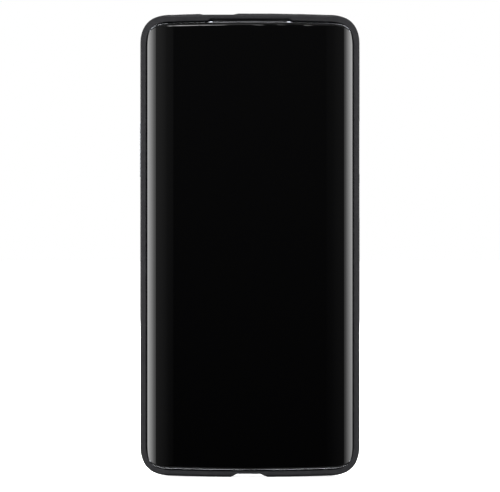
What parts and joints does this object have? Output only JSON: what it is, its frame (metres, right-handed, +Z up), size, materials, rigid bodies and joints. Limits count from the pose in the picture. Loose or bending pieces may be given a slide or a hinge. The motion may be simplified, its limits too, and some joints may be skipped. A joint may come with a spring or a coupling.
{
  "type": "smartphone",
  "caption": "Curved-screen phone with a motorised pop-up camera, in a thin matt black protective case with open cut-outs for keys, slider and charging port.",
  "frame": {"origin": "under the middle of the case: centre of the bounding box in X and Y, at the bottom edge", "axes": "+Z up along the phone towards the earpiece, -Y out of the screen, +X to the power-button side"},
  "size_m": [0.0783, 0.0104, 0.1649],
  "materials": {
    "case_polymer": "matt, very fine grain",
    "cover_glass_black": "polished, dark with the screen off",
    "rear_glass": "satin dark back glass",
    "gasket_black": "matt",
    "display_panel": "gloss",
    "foam": "matt",
    "sensor": "gloss",
    "frame_metal": "anodised dark grey, satin",
    "antenna_plastic": "satin",
    "mesh_steel": "satin",
    "black_plastic": "matt",
    "module_black": "matt",
    "island_metal": "anodised, polished edge",
    "island_glass": "polished",
    "flash_lens": "clear ribbed lens over a yellow diode",
    "circuit_board": "solder mask",
    "flex_orange": "polyimide",
    "coax_black": "gloss",
    "battery_foil": "foil pouch under a black sleeve",
    "copper": "satin copper",
    "popup_window": "polished",
    "tungsten": "satin",
    "key_metal": "anodised grey, bright chamfers",
    "sim_card": "satin"
  },
  "bodies": {
    "root": {"alert_switch": "black_plastic", "antenna_breaks": "antenna_plastic", "battery": "battery_foil", "battery_flex": "flex_orange", "board_cover": "black_plastic", "board_screws": "mesh_steel", "board_shields": "mesh_steel", "camera_island_glass": "island_glass", "camera_island_trim": "island_metal", "case_shell": "case_polymer", "coax_cable": "coax_black", "cover_glass": "cover_glass_black", "display_foam": "foam", "display_panel": "display_panel", "earpiece_mesh": "mesh_steel", "earpiece_speaker": "black_plastic", "fingerprint_sensor": "sensor", "flash_led": "flash_lens", "glass_gasket": "gasket_black", "haptic_housing": "mesh_steel", "laser_autofocus": "sensor", "loudspeaker_box": "black_plastic", "loudspeaker_cone": "black_plastic", "loudspeaker_mesh": "mesh_steel", "main_board": "circuit_board", "main_camera_housing": "module_black", "main_flex": "flex_orange", "microphones": "mesh_steel", "mid_frame": "frame_metal", "nfc_coil": "flex_orange", "popup_bracket": "mesh_steel", "popup_flex": "flex_orange", "popup_guide_rod": "mesh_steel", "popup_motor": "mesh_steel", "popup_seal": "gasket_black", "power_key_flex": "mesh_steel", "rear_glass": "rear_glass", "sim_reader": "mesh_steel", "sub_board": "circuit_board", "telephoto_camera_housing": "module_black", "ultrawide_camera_housing": "module_black", "ultrawide_lens_barrel": "black_plastic", "usb_c_gasket": "gasket_black", "usb_c_port": "mesh_steel", "vapour_chamber": "copper", "volume_key_flex": "mesh_steel"},
    "popup_camera": {"popup_camera_module": "module_black", "popup_carriage": "black_plastic", "popup_housing": "frame_metal", "popup_window": "popup_window"},
    "lead_screw": {"popup_lead_screw": "mesh_steel"},
    "main_lens": {"main_lens_barrel": "black_plastic"},
    "telephoto_lens": {"telephoto_lens_barrel": "black_plastic"},
    "haptic_weight": {"haptic_mass": "tungsten"},
    "power_key": {"power_button": "key_metal"},
    "volume_key": {"volume_rocker": "key_metal"},
    "alert_knob": {"alert_slider": "key_metal"},
    "sim_tray": {"sim_cards": "sim_card", "sim_tray": "frame_metal"}
  },
  "joints": [
    {"name": "popup_slide", "type": "slide", "parent": "root", "child": "popup_camera", "axis": [0, 0, 1], "range_m": [0, 0.009]},
    {"name": "screw_spin", "type": "hinge", "parent": "root", "child": "lead_screw", "pos_m": [-0.0214, 0.0003, 0.15], "axis": [0, 0, 1], "range_deg": [-10, 2720]},
    {"name": "main_lens_focus", "type": "slide", "parent": "root", "child": "main_lens", "axis": [0, 1, 0], "range_m": [0, 0.00025], "stiffness_N_per_m": 40},
    {"name": "telephoto_lens_focus", "type": "slide", "parent": "root", "child": "telephoto_lens", "axis": [0, 1, 0], "range_m": [0, 0.00025], "stiffness_N_per_m": 40},
    {"name": "haptic_slide", "type": "slide", "parent": "root", "child": "haptic_weight", "axis": [0, 0, 1], "range_m": [-0.0006, 0.0006], "stiffness_N_per_m": 2500},
    {"name": "power_press", "type": "slide", "parent": "root", "child": "power_key", "axis": [-1, 0, 0], "range_m": [0, 0.00025], "stiffness_N_per_m": 6000},
    {"name": "volume_rock", "type": "hinge", "parent": "root", "child": "volume_key", "pos_m": [-0.0366, -0.00015, 0.11665], "axis": [0, 1, 0], "range_deg": [-1.2, 1.2], "stiffness_Nm_per_rad": 1.5},
    {"name": "alert_slide", "type": "slide", "parent": "root", "child": "alert_knob", "axis": [0, 0, 1], "range_m": [-0.0016, 0.0016]},
    {"name": "sim_tray_slide", "type": "slide", "parent": "root", "child": "sim_tray", "axis": [0, 0, -1], "range_m": [0, 0.0155]}
  ],
  "couplings": [
    {"joint": "screw_spin", "follows": "popup_slide", "rad_per_m": 5236}
  ]
}
